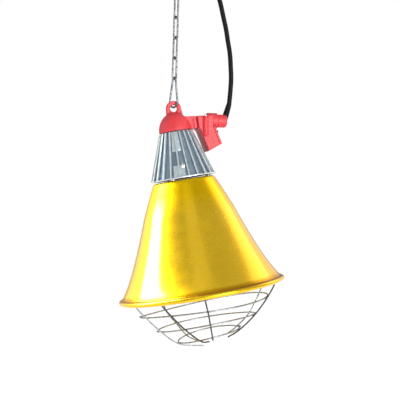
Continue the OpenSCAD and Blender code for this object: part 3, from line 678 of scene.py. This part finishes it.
# Nodes that stay as they are, with a material
KEPT = {
    "gland_seal": RUBBER, "terminal_block": BLOCK, "terminal_screws": BRASS, "heat_washer": BOARD,
    "cap_screws": SCREW_ZINC, "holder_bracket": SCREW_ZINC, "screw_shell": BRASS,
    "centre_contact": BRASS, "holder_screws": BRASS, "plug_pins": NICKEL, **WIRES,
}
for node, material in KEPT.items():
    for material_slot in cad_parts[node].material_slots:
        material_slot.material = material

# ---- Floor and light ----

FLOOR_REACH = 4.0
FLOOR_Z = -0.8
AIM = Vector((0.02, 0, -0.45))      # The point that every light faces

bm = bmesh.new()
for x, y in ((-1, -1), (1, -1), (1, 1), (-1, 1)):
    bm.verts.new((x * FLOOR_REACH, y * FLOOR_REACH, FLOOR_Z))
bm.faces.new(bm.verts)
floor = add_object("floor", bm)
# Its own glow makes it as white as the backdrop
pale = Shader("pale_floor", (0.9, 0.9, 0.9), Roughness=0.9,
              Emission_Color=(1, 1, 1, 1), Emission_Strength=0.55)
pale.link(pale.ramp(pale.noise(3, 3), (0.3, 0.89), (0.7, 0.91)), "Base Color")
dress(floor, pale.material)


def softbox(name, direction, distance, size, power, color=(1, 1, 1), lit=None):
    """An area light in metres and watts; lit is a collection, when it lights only that."""
    light = bpy.data.lights.new(name, "AREA")
    light.shape = "RECTANGLE"
    light.size, light.size_y = size
    light.energy = power
    light.color = color
    box = bpy.data.objects.new(name, light)
    away = Vector(direction).normalized()
    box.location = AIM + away * distance
    box.rotation_euler = away.to_track_quat("Z", "Y").to_euler()
    scene.collection.objects.link(box)
    if lit:
        box.light_linking.receiver_collection = lit


def lit_group(name, *pieces):
    group = bpy.data.collections.new(name)
    for piece in pieces:
        group.objects.link(piece)
    return group


on_shade = lit_group("lit_by_band", shade)
on_shade_and_cone = lit_group("lit_by_rear_left", shade, bpy.data.objects["vent_cone_finished"])
softbox("shade_band", (-0.80, 0.06, 0.6), 1.7, (0.9, 1.5), 140, lit=on_shade)
softbox("rear_left_softbox", (-0.75, 0.65, 0.35), 1.9, (1.2, 1.6), 4.5, (1, 0.96, 0.6),
        on_shade_and_cone)
softbox("rear_right_softbox", (0.65, 0.8, 0.35), 1.9, (1.2, 1.6), 4.5, (1, 0.76, 0.45), on_shade)
softbox("front_top_softbox", (-0.06, -1.0, 0.8), 1.9, (0.8, 1.4), 1.1, lit=on_shade)
softbox("left_softbox", (-0.9, 0.1, 0.35), 1.9, (0.9, 1.4), 4)
softbox("right_softbox", (0.85, 0.42, 0.48), 1.9, (1.0, 1.6), 7.5, (1, 0.84, 0.62))
softbox("front_softbox", (0.55, -1.0, 0.1), 2.2, (0.9, 1.2), 34)

# The room that lights the lamp is greyer than the white backdrop that the camera sees
world = bpy.data.worlds.new("studio")
scene.world = world
world.use_nodes = True
tree = world.node_tree
tree.nodes.clear()
coord = tree.nodes.new("ShaderNodeTexCoord")
split = tree.nodes.new("ShaderNodeSeparateXYZ")
tree.links.new(coord.outputs["Generated"], split.inputs[0])
ramp = tree.nodes.new("ShaderNodeValToRGB")
span = tree.nodes.new("ShaderNodeMapRange")
span.inputs["From Min"].default_value = -1
tree.links.new(split.outputs[1], span.inputs["Value"])
tree.links.new(span.outputs[0], ramp.inputs["Fac"])
for i, (at, value) in enumerate(((0.0, 0.35), (0.25, 0.5), (0.5, 0.65), (0.75, 0.45), (1.0, 0.4))):
    point = ramp.color_ramp.elements[i] if i < 2 else ramp.color_ramp.elements.new(at)
    point.position = at
    point.color = (value, value, value * 1.02, 1)
room = tree.nodes.new("ShaderNodeBackground")
tree.links.new(ramp.outputs[0], room.inputs["Color"])
backdrop = tree.nodes.new("ShaderNodeBackground")
backdrop.inputs["Color"].default_value = (1, 1, 1, 1)
path = tree.nodes.new("ShaderNodeLightPath")
mix = tree.nodes.new("ShaderNodeMixShader")
tree.links.new(path.outputs["Is Camera Ray"], mix.inputs[0])
tree.links.new(room.outputs[0], mix.inputs[1])
tree.links.new(backdrop.outputs[0], mix.inputs[2])
out = tree.nodes.new("ShaderNodeOutputWorld")
tree.links.new(mix.outputs[0], out.inputs[0])
